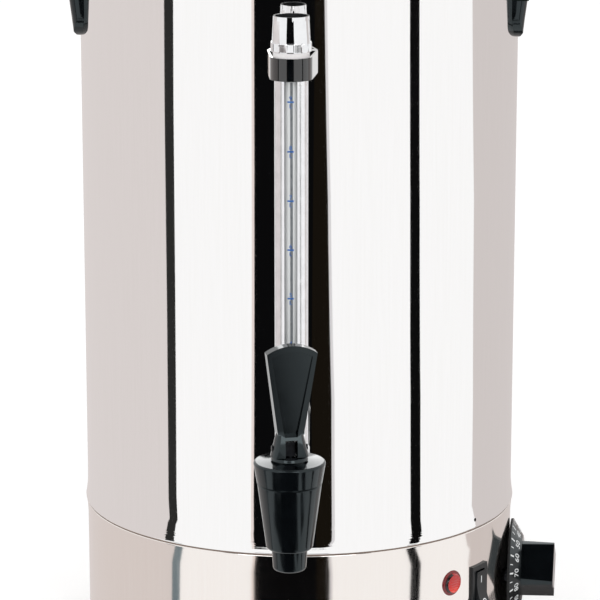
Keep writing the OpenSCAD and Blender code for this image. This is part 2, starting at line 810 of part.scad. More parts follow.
module tap_lever() {
  top = z_lever + lever_h;
  arch = 4.2;
  arch_r = (lever_w * lever_w / 4 + arch * arch) / (2 * arch);
  lean = atan(lever_lean / (lever_h - 13));
  color("black") translate([0, -y_tap, 0]) rotate([0, 0, lever_turn]) difference() {
    intersection() {
      union() {
        translate([0, 0, z_lever]) cylinder(r1 = 9.9, r2 = 6.9, h = 12);
        translate([-30, -30, z_lever + 11.8]) cube([60, 60, lever_h]);
      }
      translate([0, 30, 0]) rotate([90, 0, 0]) linear_extrude(60) intersection() {
        polygon([[-12, z_lever - 1], [12, z_lever - 1], [12, z_lever + 11.8], [6.75, z_lever + 11.8],
          [lever_w / 2, top - arch], [lever_w / 2, top], [-lever_w / 2, top], [-lever_w / 2, top - arch],
          [-6.75, z_lever + 11.8], [-12, z_lever + 11.8]]);
        union() {
          translate([0, top - arch_r]) circle(arch_r, $fn = 180);
          translate([-20, z_lever - 1]) square([40, 20]);
        }
      }
      translate([-30, 0, 0]) rotate([90, 0, 90]) linear_extrude(60)
        polygon([[-6, z_lever - 1], [6, z_lever - 1], [6, z_lever + 6], [lever_t / 2 + 0.6, z_lever + 14],
          [lever_t / 2 - 0.4 - lever_lean, top + 1], [0.4 - lever_t / 2 - lever_lean, top + 1],
          [-lever_t / 2 - 0.6, z_lever + 14], [-6, z_lever + 6]]);
    }
    translate([0, 0, z_lever + 14]) rotate([lean, 0, 0])
      translate([0, -lever_t / 2 + 1.2, -z_lever - 14]) rotate([90, 0, 0]) linear_extrude(20) intersection() {
      polygon([[-3.3, z_lever + 11.2], [3.3, z_lever + 11.2], [lever_w / 2 - 2.5, top - arch - 1.4],
        [lever_w / 2 - 2.5, top], [2.5 - lever_w / 2, top], [2.5 - lever_w / 2, top - arch - 1.4]]);
      union() {
        translate([0, top - arch_r]) circle(arch_r - 2.5, $fn = 180);
        translate([-20, z_lever]) square([40, lever_h - arch_r]);
      }
    }
    translate([-tang_w / 2 - air, -20, z_lever - 1]) cube([tang_w + 2 * air, 40, 10]);
    translate([0, 0, z_pin]) rotate([0, 90, 0]) cylinder(d = pin_d + 2 * run_gap, h = 40, center = true);
  }
}

// Sight gauge
module gauge_glass() {
  color("lightblue", 0.4) translate([0, -y_gauge, z_fit - 9])
    ring(glass_d / 2 - 1.4, glass_d / 2, z_cap + 8 - z_fit + 9);
}

module gauge_shield() {
  color("gainsboro") translate([0, -y_gauge, 0]) difference() {
    translate([0, 0, z_fit]) ring(shield_d / 2 - 1, shield_d / 2, z_shield - z_fit);
    translate([-slot_w / 2, -shield_d, z_fit + 6])
      cube([slot_w, shield_d, z_shield - z_fit - 6 - clip_h / 2]);
  }
}

module gauge_seal() {
  color("white") translate([0, -y_gauge, z_shield]) ring(glass_d / 2, shield_d / 2 + 0.7, seal_t);
}

module gauge_cap() {
  cap_r = shield_d / 2 + 1.3;
  color("gainsboro") translate([0, -y_gauge, z_cap]) difference() {
    union() {
      cylinder(r = cap_r + 0.35, h = 4.8);
      translate([0, 0, 4.8]) cylinder(r1 = cap_r, r2 = cap_r - 0.75, h = cap_h - 4.8);
    }
    translate([0, 0, -1]) cylinder(d = glass_d, h = 9);
    cylinder(r = 2.5, h = 40);
    translate([0, 0, cap_h - 6]) cylinder(r = cap_r - 1.7, h = 10);
    for (a = [0:45:315]) rotate([0, 0, a]) translate([-10, -cap_r + 0.14, 4.8]) rotate([-3, 0, 0])
      translate([0, -10, 0]) cube([20, 10, cap_h - 7]);
  }
}

module gauge_clip() {
  in_r = shield_d / 2;
  color("black") difference() {
    translate([0, -y_gauge, z_shield - clip_h]) linear_extrude(clip_h) difference() {
      union() {
        circle(in_r + 2.3);
        polygon([[-in_r - 2.3, 0], [in_r + 2.3, 0], [in_r + 4.3, gauge_out - 2], [in_r + 4.3, gauge_out + 6],
          [-in_r - 4.3, gauge_out + 6], [-in_r - 4.3, gauge_out - 2]]);
      }
      circle(in_r);
      polygon([[-in_r - 1, 0], [in_r + 1, 0], [in_r + 3.2, gauge_out - 3], [-in_r - 3.2, gauge_out - 3]]);
    }
    core(R);
    at_wall(0, z_shield - clip_h / 2) cylinder(r = 1.6, h = R + 4);
  }
}

module clip_screw() {
  color("gray") at_wall(0, z_shield - clip_h / 2) {
    translate([0, 0, R - 4]) cylinder(r = 1.6, h = 8);
    translate([0, 0, R + 3]) cylinder(r = 3, h = 2.2);
  }
}

// Lid
module lid_dome() {
  color("silver") difference() {
    rotate_extrude($fn = 180) {
      translate([dome_base - 1, z_lid]) square([lid_r - dome_base + 1, lid_t]);
      intersection() {
        difference() {
          translate([0, z_dome - dome_rad]) circle(dome_rad, $fn = 360);
          translate([0, z_dome - dome_rad]) circle(dome_rad - lid_t, $fn = 360);
        }
        translate([0, z_lid]) square([dome_base, 60]);
      }
    }
    cylinder(r = 2.5, h = 700);
  }
}

module lid_collar() {
  color("silver") translate([0, 0, z_lid - collar_h])
    ring(r_tank - lid_gap - lid_t, r_tank - lid_gap, collar_h);
}

module lid_knob() {
  k = lid_knob_d / 2;
  color("black") difference() {
    rotate_extrude() {
      translate([0, z_dome - 1]) square([k * 0.55, lid_knob_h - 9]);
      translate([0, z_dome + lid_knob_h - 12]) square([k - 5, 12]);
      translate([0, z_dome + lid_knob_h - 10]) square([k, 5]);
      translate([k - 5, z_dome + lid_knob_h - 5]) circle(5);
      translate([k - 2, z_dome + lid_knob_h - 10]) circle(2);
    }
    translate([0, 0, z_dome - dome_rad]) sphere(dome_rad, $fn = 360);
    cylinder(r = 2.5, h = z_dome + 12);
  }
}

module lid_knob_washer() {
  color("gray") intersection() {
    translate([0, 0, z_dome - lid_t - 2]) ring(2.5, 9, 3);
    translate([0, 0, z_dome - dome_rad]) sphere(dome_rad - lid_t, $fn = 360);
  }
}

module lid_knob_screw() {
  color("gray") {
    translate([0, 0, z_dome - lid_t - 2]) cylinder(r = 2.5, h = lid_t + 14);
    translate([0, 0, z_dome - lid_t - 5]) cylinder(r = 4.6, h = 3);
  }
}

// Thermostat knob
module thermostat_knob() {
  dial_r = dial_d / 2;
  neck_r = grip_w * 0.72;
  color("black") at_wall(knob_az, z_knob) translate([0, 0, knob_off]) difference() {
    union() {
      cylinder(r = dial_r, h = 1.2);
      translate([0, 0, 1.2]) cylinder(r1 = dial_r, r2 = neck_r, h = 5.8);
      rotate([0, 0, -grip_turn]) intersection() {
        cylinder(r = grip_w * 0.635, h = knob_len);
        difference() {
          translate([-grip_w / 2, -grip_w / 2, 4]) cube([grip_w, grip_w, knob_len - 4]);
          for (a = [0:90:270]) rotate([0, 0, a]) translate([grip_w / 2, -30, 7]) rotate([0, -2, 0])
            cube([20, 60, 60]);
        }
      }
    }
    difference() {
      union() {
        translate([0, 0, -1]) cylinder(r = dial_r - 2, h = 2);
        translate([0, 0, 0.99]) cylinder(r1 = dial_r - 2, r2 = neck_r, h = 4.4);
      }
      cylinder(r = shaft_r + 4, h = 20);
    }
    translate([0, 0, -1]) cylinder(r = shaft_r, h = 17);
  }
}

module thermostat_shaft() {
  color("gray") at_wall(knob_az, z_knob) translate([0, 0, R - 25])
    cylinder(r = shaft_r, h = knob_off + 16 - R + 25);
}

outer_shell();
inner_tank();
tank_floor();
seam_gasket();
base_skirt();
base_ring();
non_slip_ring();
bottom_cover();
tie_stud();
cover_washer();
cover_nut();
heat_plate();
heating_ring();
clamp_plate();
clamp_nut();
thermal_cutout();
cutout_screws();
thermostat_body();
thermostat_screws();
thermostat_bulb();
terminal_block();
terminal_screws();
switch_housing();
pilot_lens();
pilot_body();
cord_gland();
gland_nut();
handle_left();
handle_right();
handle_screws();
handle_washers();
gauge_fitting();
shank_seal();
wall_spacer();
shank_washer();
shank_nut();
tap_body();
tap_bonnet();
gauge_glass();
gauge_shield();
gauge_seal();
gauge_cap();
gauge_clip();
clip_screw();
lid_dome();
lid_collar();
lid_knob();
lid_knob_washer();
lid_knob_screw();
valve_stem();
valve_cup();
lever_pin();
tap_lever();
thermostat_knob();
thermostat_shaft();
switch_rocker();
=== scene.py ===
import math

import bmesh
import bpy
from mathutils import Matrix, Vector


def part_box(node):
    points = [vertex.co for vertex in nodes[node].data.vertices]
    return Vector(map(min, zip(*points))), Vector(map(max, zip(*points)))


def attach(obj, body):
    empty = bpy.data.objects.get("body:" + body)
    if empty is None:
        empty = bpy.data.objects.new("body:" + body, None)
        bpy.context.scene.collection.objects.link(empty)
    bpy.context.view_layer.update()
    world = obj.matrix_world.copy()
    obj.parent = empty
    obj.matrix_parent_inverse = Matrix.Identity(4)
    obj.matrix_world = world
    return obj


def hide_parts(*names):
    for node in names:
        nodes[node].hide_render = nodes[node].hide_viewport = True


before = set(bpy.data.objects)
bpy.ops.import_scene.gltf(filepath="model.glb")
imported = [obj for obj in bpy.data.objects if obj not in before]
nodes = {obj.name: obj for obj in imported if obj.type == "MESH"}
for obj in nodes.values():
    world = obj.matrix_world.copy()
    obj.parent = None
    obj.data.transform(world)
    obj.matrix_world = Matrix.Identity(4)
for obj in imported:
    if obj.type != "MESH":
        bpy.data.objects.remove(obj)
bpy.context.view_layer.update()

# Camera: a long lens on a tripod, 1.64 m from the urn's axis and a little to its right. It stands
# above the rim and tips down, so that the picture cuts off the lid at the top and the foot below.
camera = bpy.data.objects.new("camera", bpy.data.cameras.new("camera"))
bpy.context.collection.objects.link(camera)
camera.data.sensor_width = 36
camera.data.lens = 180.1
camera_reach, camera_height = 1.642, 0.5774
camera_side, camera_tip, camera_pan = math.radians(1.65), math.radians(13.07), math.radians(-0.0124)
camera.location = (camera_reach * math.sin(camera_side), -camera_reach * math.cos(camera_side), camera_height)
camera.rotation_euler = (math.radians(90) - camera_tip, 0, camera_side + camera_pan)
bpy.context.scene.camera = camera
bpy.context.scene.view_settings.view_transform = "Standard"


# Studio: a white paper floor under an even white sky, with a large soft lamp on each side.
# Camera, mirror and glass rays see sky and floor as the white background, and the floor keeps the
# urn's shadow.
def linear(hex_colour):
    channels = [int(hex_colour[i:i + 2], 16) / 255 for i in (0, 2, 4)]
    return [c / 12.92 if c <= 0.04045 else ((c + 0.055) / 1.055) ** 2.4 for c in channels] + [1]


def put(tree, kind, settings, inputs):
    node = tree.nodes.new("ShaderNode" + kind)
    for name, value in settings.items():
        setattr(node, name, value)
    for name, value in inputs.items():
        if isinstance(value, bpy.types.NodeSocket):
            tree.links.new(value, node.inputs[name])
        else:
            node.inputs[name].default_value = value
    return node


def blank(name):
    made = bpy.data.materials.new(name)
    made.use_nodes = True
    made.node_tree.nodes.clear()
    return made, made.node_tree


def mirror_rays(tree, path):
    return put(tree, "Math", {"operation": "MAXIMUM"}, {0: path.outputs["Is Glossy Ray"],
                                                        1: path.outputs["Is Transmission Ray"]}).outputs[0]


# the sky lights the urn at 0.88, and is seen at 1, which is white
sky = bpy.data.worlds.new("studio_sky")
bpy.context.scene.world = sky
sky.use_nodes = True
tree = sky.node_tree
tree.nodes.clear()
path = put(tree, "LightPath", {}, {})
seen = put(tree, "Math", {"operation": "MAXIMUM"}, {0: path.outputs["Is Camera Ray"],
                                                    1: mirror_rays(tree, path)})
level = put(tree, "Math", {"operation": "MULTIPLY_ADD"}, {0: seen.outputs[0], 1: 0.12, 2: 0.88})
sky_light = put(tree, "Background", {}, {"Color": (1, 1, 1, 1), "Strength": level.outputs[0]})
put(tree, "OutputWorld", {}, {"Surface": sky_light.outputs[0]})

# matt paper scatters light evenly and takes a soft shadow, and a glow that only the camera sees
# lifts its grey to white
white_paper, tree = blank("matt_white_paper_floor")
path = put(tree, "LightPath", {}, {})
glow = put(tree, "Math", {"operation": "MULTIPLY"}, {0: path.outputs["Is Camera Ray"], 1: 0.32})
paper = put(tree, "BsdfDiffuse", {}, {"Color": linear("E8E8E8"), "Roughness": 0.5})
lift = put(tree, "Emission", {}, {"Color": (1, 1, 1, 1), "Strength": glow.outputs[0]})
seen = put(tree, "AddShader", {}, {0: paper.outputs[0], 1: lift.outputs[0]})
mirrored = put(tree, "Emission", {}, {"Color": (1, 1, 1, 1), "Strength": 1.0})
both = put(tree, "MixShader", {}, {0: mirror_rays(tree, path), 1: seen.outputs[0], 2: mirrored.outputs[0]})
put(tree, "OutputMaterial", {}, {"Surface": both.outputs[0]})


def stage_sheet(name, corners, finish):
    mesh = bpy.data.meshes.new(name)
    mesh.from_pydata([Vector(c) for c in corners], [], [range(len(corners))])
    mesh.materials.append(finish)
    made = bpy.data.objects.new(name, mesh)
    bpy.context.collection.objects.link(made)
    return made


stage_sheet("floor", [(-9, -9, 0), (9, -9, 0), (9, 9, 0), (-9, 9, 0)], white_paper)
lamp_aim = Vector((0, 0, 0.25))


def lamp(name, place, size, watts):
    light = bpy.data.lights.new(name, "AREA")
    light.shape = "RECTANGLE"
    light.size, light.size_y = size
    light.energy = watts
    made = bpy.data.objects.new(name, light)
    made.location = place
    made.rotation_euler = (lamp_aim - Vector(place)).to_track_quat("-Z", "Y").to_euler()
    bpy.context.collection.objects.link(made)


lamp("left_soft_lamp", (-0.85, -2.3, 1.0), (0.9, 1.1), 7)
lamp("right_soft_lamp", (0.95, -2.3, 1.0), (0.8, 1.1), 6)

# Flags: card laid on the floor round the urn, one hung in front of the gauge cap, two held under the
# tap, one overhead, and a soft box high at the back. They shape the bands in the polished steel and
# the black plastic. Only mirror rays see them, so they leave the floor and the urn's light alone.
card_z = 0.001


def flag(name, hex_colour, *corners, strength=1.0):
    card, tree = blank(name + "_card")
    shine = put(tree, "Emission", {}, {"Color": linear(hex_colour), "Strength": strength})
    put(tree, "OutputMaterial", {}, {"Surface": shine.outputs[0]})
    made = stage_sheet(name, [(*c, card_z)[:3] for c in corners], card)
    made.visible_camera = made.visible_diffuse = made.visible_shadow = made.visible_transmission = False


front_left = [(-0.055, -0.2), (-0.166, -0.467), (-1.306, -3.4)]
front_right = [(0.045, -0.2), (0.096, -0.358), (0.124, -0.421), (0.221, -0.721), (0.414, -1.465),
               (0.845, -3.4)]
black_end, brown_end = (0.58, -3.4), (0.03, -0.2)
flag("front_black", "0A0A0B", *front_left, black_end, brown_end)
flag("front_brown", "16120D", brown_end, black_end, *reversed(front_right))
flag("front_left_edge", "E9DDD8", *front_left, *[(x * 1.07, y) for x, y in reversed(front_left)])
flag("front_right_edge", "DAD8D9", *front_right, *[(x * 1.09, y) for x, y in reversed(front_right)])

left_far = [(-0.17, -0.135), (-0.284, -0.177), (-0.335, -0.19), (-0.413, -0.208), (-0.972, -0.388),
            (-1.975, -0.7), (-5.4, -1.84)]
left_near = [(-0.17, -0.15), (-0.274, -0.201), (-0.328, -0.219), (-0.401, -0.244), (-0.94, -0.478),
             (-1.903, -0.893), (-5.4, -2.48)]
flag("left_strip", "2C2C2B", *left_far[2:], *reversed(left_near[2:]))
flag("left_strip_foot", "748288", *left_far[:3], *reversed(left_near[:3]))
right_far = [(0.17, -0.14), (0.288, -0.178), (0.644, -0.322), (1.346, -0.637), (1.904, -0.9), (4.9, -2.31)]
right_near = [(0.15, -0.148), (0.276, -0.207), (0.613, -0.388), (1.282, -0.768), (1.812, -1.083),
              (4.9, -2.92)]
flag("right_strip", "0D0D0D", *right_near, *reversed(right_far))

flag("left_grey", "DDD6D4", *left_far, (-8.0, 8.0), (0, 8.0), (0, 0.17))
flag("right_grey", "D3CCCA", (0.15, -0.05), (0.291, -0.02), (0.336, 0.003), (0.415, 0.033), (0.659, 0.11),
     (1.402, 0.311), (2.013, 0.416), (6.0, 1.1), (8.0, 8.0), (0, 8.0), (0, 0.17))
flag("cap_card", "0A0A0B", (-0.69, -1.65, 0.2), (0.23, -1.65, 0.2), (0.23, -1.65, 0.55), (-0.69, -1.65, 0.55))
flag("knob_card", "1C1C1D", (0.125, -0.03), (0.2, -0.03), (0.2, 0.08), (0.125, 0.08))
flag("overhead_black", "121212", (-1.6, -0.9, 2.6), (1.6, -0.9, 2.6), (1.6, -3.6, 2.6), (-1.6, -3.6, 2.6))
flag("back_soft_box", "FFFFFF", (-1.2, 2.5, 1.4), (1.6, 2.5, 1.4), (1.6, 2.5, 3.4), (-1.2, 2.5, 3.4),
     strength=1.8)

# each card under the tap is a slanted sector round the urn's axis, high at its inner edge
inner_r, inner_z, outer_r, outer_z, steps = 0.275, 0.042, 0.405, 0.0012, 12
for side, start, end in (("left", -32, 18), ("right", 24, 31)):
    turns = [math.radians(start + (end - start) * i / steps) for i in range(steps + 1)]
    flag("tap_" + side, "060707",
         *[(inner_r * math.sin(a), -inner_r * math.cos(a), inner_z) for a in turns],
         *[(outer_r * math.sin(a), -outer_r * math.cos(a), outer_z) for a in reversed(turns)])


def wear(finish, *names):
    for name in names:
        for slot in nodes[name].material_slots:
            slot.material = finish


def polished_sheet(name, dull, bright, clear, hazy):
    made, tree = blank(name)
    place = put(tree, "TexCoord", {}, {})
    # 14 waves a metre round the body, 70 mm each, and 5 a metre up it, 200 mm each, 0.02 mm deep
    rolled = put(tree, "Mapping", {}, {"Vector": place.outputs["Object"], "Scale": (14, 14, 5)})
    wave = put(tree, "TexNoise", {}, {"Vector": rolled.outputs[0], "Scale": 1.0, "Detail": 1.0})
    swell = put(tree, "Bump", {}, {"Height": wave.outputs[0], "Strength": 1.0, "Distance": 0.00002})
    # 900 buffing lines a metre, about 1 mm wide and 40 mm long, coarser than a wheel leaves, to show
    buffed = put(tree, "Mapping", {}, {"Vector": place.outputs["Object"], "Scale": (900, 900, 25)})
    lines = put(tree, "TexNoise", {}, {"Vector": buffed.outputs[0], "Scale": 1.0, "Detail": 3.0})
    haze = put(tree, "MapRange", {}, {"Value": lines.outputs[0], "From Min": 0.3, "From Max": 0.7,
                                      "To Min": clear, "To Max": hazy})
    tint = put(tree, "ValToRGB", {}, {"Fac": lines.outputs[0]})
    tint.color_ramp.elements[0].color = linear(dull)
    tint.color_ramp.elements[1].color = linear(bright)
    steel = put(tree, "BsdfPrincipled", {}, {"Base Color": tint.outputs[0], "Metallic": 1.0,
                                             "Roughness": haze.outputs[0], "Normal": swell.outputs[0]})
    put(tree, "OutputMaterial", {}, {"Surface": steel.outputs[0]})
    return made


# a mirror finish shows the room sharp and nearly as bright as it is
mirror_steel = polished_sheet("mirror_polished_stainless", "F6F5F4", "FAF9F9", 0.02, 0.04)
wear(mirror_steel, "outer_shell")

# Seam gasket: a ring of rubber pressed between shell and skirt, squeezed out to a thin brown bead.
# The bead follows the seam all round and stands less than 1 mm proud of the steel.
wall_r, seam_z = 0.12, 0.085


# dark and pale are the tones of the grain, smooth and rough its gloss, grain its width and depth
# its height in metres, and stretch draws it out along an axis
def grained(name, dark, pale, smooth, rough, grain, depth, stretch=(1, 1, 1), **shader):
    made, tree = blank(name)
    place = put(tree, "TexCoord", {}, {})
    sized = put(tree, "Mapping", {}, {"Vector": place.outputs["Object"],
                                      "Scale": [s / grain for s in stretch]})
    grit = put(tree, "TexNoise", {}, {"Vector": sized.outputs[0], "Scale": 1.0, "Detail": 3.0})
    tone = put(tree, "ValToRGB", {}, {"Fac": grit.outputs[0]})
    low, high = 0.3, 0.7  # most of the noise lies between these
    for end, position, colour in ((0, low, dark), (1, high, pale)):
        tone.color_ramp.elements[end].position = position
        tone.color_ramp.elements[end].color = linear(colour)
    gloss = put(tree, "MapRange", {}, {"Value": grit.outputs[0], "From Min": low, "From Max": high,
                                       "To Min": smooth, "To Max": rough})
    relief = put(tree, "Bump", {}, {"Height": grit.outputs[0], "Strength": 1.0, "Distance": depth})
    skin = put(tree, "BsdfPrincipled", {}, {"Base Color": tone.outputs[0], "Roughness": gloss.outputs[0],
                                            "Normal": relief.outputs[0], **shader})
    put(tree, "OutputMaterial", {}, {"Surface": skin.outputs[0]})
    return made


def mesh_of(name, points, faces):
    mesh = bpy.data.meshes.new(name)
    mesh.from_pydata(points, [], faces)
    form = bmesh.new()
    form.from_mesh(mesh)
    bmesh.ops.remove_doubles(form, verts=form.verts, dist=0.000001)
    bmesh.ops.recalc_face_normals(form, faces=form.faces)
    form.to_mesh(mesh)
    form.free()
    return mesh


def fit(mesh, finish, body, slot, *stands_for):
    mesh.materials.clear()
    mesh.materials.append(finish)
    mesh.shade_smooth()
    # each corner is shaded by the faces within 32 degrees round it, large faces counting for more
    least_dot = 0.848
    around = [[] for _ in mesh.vertices]
    for face in mesh.polygons:
        for v in face.vertices:
            around[v].append(face.index)
    shading = [None] * len(mesh.loops)
    for face in mesh.polygons:
        for i in face.loop_indices:
            near = [mesh.polygons[n] for n in around[mesh.loops[i].vertex_index]]
            shading[i] = sum((f.normal * f.area for f in near if f.normal.dot(face.normal) > least_dot),
                             face.normal * 1e-12).normalized()
    mesh.normals_split_custom_set(shading)
    made = bpy.data.objects.new(mesh.name, mesh)
    bpy.context.collection.objects.link(made)
    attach(made, body)
    if stands_for:
        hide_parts(*stands_for)
    return made


def loop_faces(count, sides):
    return [(s * sides + k, (s + 1) % count * sides + k, (s + 1) % count * sides + (k + 1) % sides,
             s * sides + (k + 1) % sides) for s in range(count) for k in range(sides)]


def turned(name, outline, sides, place):
    points = []
    for s in range(sides):
        a = 2 * math.pi * s / sides
        points += [place @ Vector((r * math.cos(a), r * math.sin(a), h)) for r, h in outline]
    faces = loop_faces(sides, len(outline))
    return mesh_of(name, points, [f for f in faces if len({tuple(points[i]) for i in f}) > 2])


# moulded rubber is matt, and its 1 mm grain breaks up the light
brown_rubber = grained("moulded_brown_rubber", "7C6A5F", "907E73", 0.55, 0.75, 0.001, 0.00001, IOR=1.52)
bead = [(-0.002, -0.00028), (0.00005, -0.00028), (0.00035, -0.0006), (0.0006, -0.0003), (0.00066, 0),
        (0.0005, 0.00027), (-0.002, 0.00028)]
bead = [(wall_r + out, seam_z + up) for out, up in bead]
fit(turned("seam_bead", bead, 180, Matrix()), brown_rubber, "urn", "black_rubber", "seam_gasket")

# Base skirt: the same sheet rolled to a short tube under the seam, and pierced for the lamp, the
# switch and the knob. It is buffed less finely, so its reflections are softer and a little warmer.
skirt_steel = polished_sheet("buffed_stainless_skirt", "F1EAE5", "F5F0EC", 0.06, 0.1)
wear(skirt_steel, "base_skirt")

# Base ring and foot: a moulded polypropylene ring closes the skirt, and stands on a rubber ring.
# The mould's spark texture of 0.4 mm is drawn at 0.8 mm to show, as a soft satin without reflections.
satin_black = grained("spark_textured_black_polypropylene", "101214", "191C1F", 0.32, 0.44, 0.0008, 0.00001,
                      IOR=1.49)
wear(satin_black, "base_ring")
# dull and a little brown beside the plastic
black_rubber = grained("moulded_black_rubber", "231C19", "332A26", 0.55, 0.75, 0.001, 0.00001, IOR=1.52)
wear(black_rubber, "non_slip_ring")

# Bottom cover: pressed from sheet steel and held up by one stud with its washer and nut.
# Zinc plating is dull grey and slightly mottled, in patches of about 4 mm.
zinc_steel = grained("zinc_plated_steel", "A3A6A8", "C4C6C8", 0.28, 0.42, 0.004, 0.000004, Metallic=1.0)
wear(zinc_steel, "bottom_cover", "tie_stud", "cover_washer", "cover_nut")

# Tank and its floor: stainless sheet as it leaves the mill, welded, and rolled over at the rim.
# Rolling leaves a satin with streaks 2 mm wide and 40 mm long, which blur what it mirrors.
mill_steel = grained("mill_finish_stainless", "C9C7C4", "D9D7D4", 0.16, 0.26, 0.002, 0.000003,
                     stretch=(1, 1, 0.05), Metallic=1.0)
wear(mill_steel, "inner_tank", "tank_floor")

# Lid: a spun and polished dome with a welded collar, and a moulded knob held by one screw and washer.
# Polished ABS is near black with clear, cool highlights, which swell a little every 12 mm.
gloss_black = grained("polished_black_abs", "06080A", "0B0E11", 0.09, 0.15, 0.012, 0.000006, IOR=1.53,
                      **{"Specular Tint": linear("E2F5FA")})
wear(mirror_steel, "lid_dome")
wear(mill_steel, "lid_collar")
wear(zinc_steel, "lid_knob_washer", "lid_knob_screw")
wear(gloss_black, "lid_knob")


# Bow handles: moulded in black ABS with rounded edges, each held by two screws and washers from
# inside the shell. Their feet lean out from round tips.
def solid_of(node):
    form = bmesh.new()
    form.from_mesh(nodes[node].data)
    bmesh.ops.remove_doubles(form, verts=form.verts, dist=0.000002)
    bmesh.ops.recalc_face_normals(form, faces=form.faces)
    bmesh.ops.dissolve_limit(form, angle_limit=math.radians(0.5), verts=form.verts, edges=form.edges)
    return form


def sharp_edges(form):
    return [e for e in form.edges if e.is_manifold and e.calc_face_angle(0) > math.radians(28)]


def cut_back(form, edges, width, steps, clamp):
    bmesh.ops.bevel(form, geom=edges, offset=width, offset_type="OFFSET", segments=steps, profile=0.5,
                    affect="EDGES", clamp_overlap=clamp)


def moulded(form, node, finish, body, slot):
    mesh = bpy.data.meshes.new(node + "_moulding")
    form.to_mesh(mesh)
    form.free()
    return fit(mesh, finish, body, slot, node)


def softened(node, edge, finish, body, slot):
    form = solid_of(node)
    cut_back(form, sharp_edges(form), edge, 3, True)
    return moulded(form, node, finish, body, slot)


for side in ("handle_left", "handle_right"):
    softened(side, 0.0009, gloss_black, "urn", "black_gloss_plastic")
wear(zinc_steel, "handle_screws", "handle_washers")

# Tap shank: a fitting turned from brass and chromed, through both walls, with rubber seals, a nylon
# spacer between the walls and a nut inside.
# bright chrome mirrors what is round it, with a slight ripple of 6 mm
chrome = grained("bright_chrome_plate", "EDEEF0", "F5F6F7", 0.03, 0.07, 0.006, 0.000002, Metallic=1.0)
wear(chrome, "gauge_fitting", "shank_nut")
wear(black_rubber, "shank_seal", "shank_washer")
# nylon is waxy, with a broad soft highlight
cream_nylon = grained("heat_resistant_cream_nylon", "D8CFB8", "E4DCC8", 0.42, 0.55, 0.003, 0.00001, IOR=1.53)
wear(cream_nylon, "wall_spacer")

# Tap: body, bonnet and lever moulded in black ABS. The bonnet screws down on the body, and a fine
# groove shows where they meet. A blackened steel stem and pin carry the lever, with a silicone cup
# on the seat.
tap_y, joint_z, neck_reach, groove = -0.174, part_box("tap_bonnet")[0][2], 0.014, 0.0006


def at_joint(edge, least_r=0.0):
    return all(abs(v.co.z - joint_z) < 0.0001 and math.hypot(v.co.x, v.co.y - tap_y) > least_r
               for v in edge.verts)


for name in ("tap_body", "tap_bonnet"):
    form = solid_of(name)
    cut_back(form, [e for e in sharp_edges(form) if not at_joint(e)], 0.0004, 3, True)
    cut_back(form, [e for e in sharp_edges(form) if at_joint(e, neck_reach)], groove, 1, False)
    moulded(form, name, gloss_black, "urn", "black_gloss_plastic")
softened("tap_lever", 0.001, gloss_black, "lever", "black_gloss_plastic")
# oil blacking leaves the steel dark with a dull sheen
black_steel = grained("oil_blackened_steel", "1C1D1F", "2C2D30", 0.3, 0.45, 0.003, 0.000003, Metallic=1.0)
wear(black_steel, "valve_stem", "lever_pin")
# silicone looks milky white and soft
milky_silicone = grained("milky_silicone", "F8F4F4", "FEFCFC", 0.35, 0.45, 0.002, 0.00001, IOR=1.41)
wear(milky_silicone, "valve_cup", "gauge_seal")

# Sight gauge: a drawn glass tube in a slotted chrome shield, closed by a chromed cap on a silicone ring and
# held to the shell by a black clip. The faces inside the cap's open top are drawn satin black.
gauge_y, cap_hollow_r, cap_hollow_z = -0.142, 0.0083, 0.3695
# satin chrome blurs its reflections to soft upright bands
satin_chrome = grained("satin_chrome_plate", "ECECEE", "F6F6F8", 0.16, 0.24, 0.006, 0.000002, Metallic=1.0)
wear(satin_chrome, "gauge_shield")
cap = softened("gauge_cap", 0.0003, chrome, "urn", "chrome")
cap.data.materials.append(satin_black)
# the faces inside the cap's open top take the satin black, darker than the chrome round them
for face in cap.data.polygons:
    if math.hypot(face.center.x, face.center.y - gauge_y) < cap_hollow_r and face.center.z > cap_hollow_z:
        face.material_index = 1
# a coat of lacquer gives the clip a sharper gloss than the other mouldings
lacquered_black = grained("lacquered_black_abs", "06080A", "0B0E11", 0.07, 0.12, 0.012, 0.000004, IOR=1.53,
                          **{"Coat Weight": 1.0})
softened("gauge_clip", 0.0006, lacquered_black, "urn", "black_gloss_plastic")
wear(zinc_steel, "clip_screw")
# milky glass is nearly white, lets a little light through, and has draw lines along the tube
opal_glass = grained("milky_drawn_glass", "F0F2F2", "F8FAFA", 0.08, 0.14, 0.01, 0.000001,
                     stretch=(1, 1, 0.05), IOR=1.5, **{"Transmission Weight": 0.1})
wear(opal_glass, "gauge_glass")

# Cap knurl: 90 fine upright ribs moulded round the cap's lower edge, for wet fingers, and chromed
# with it. Four points round make a rib.
ribs, knurl_r, rib_depth, root_r = 90, 0.01034, 0.00008, 0.0098
knurl_low, knurl_high, edge_in, edge_up = 0.3581, 0.3625, 0.0002, 0.0004
points = []
for i in range(4 * ribs):
    a = 2 * math.pi * i / (4 * ribs)
    tip = knurl_r + rib_depth * math.cos(math.pi * i / 2)
    for r, z in ((root_r, knurl_low), (tip - edge_in, knurl_low), (tip, knurl_low + edge_up),
                 (tip, knurl_high - edge_up), (tip - edge_in, knurl_high), (root_r, knurl_high)):
        points.append((r * math.sin(a), gauge_y - r * math.cos(a), z))
fit(mesh_of("cap_knurl", points, loop_faces(4 * ribs, 6)), chrome, "urn", "chrome")
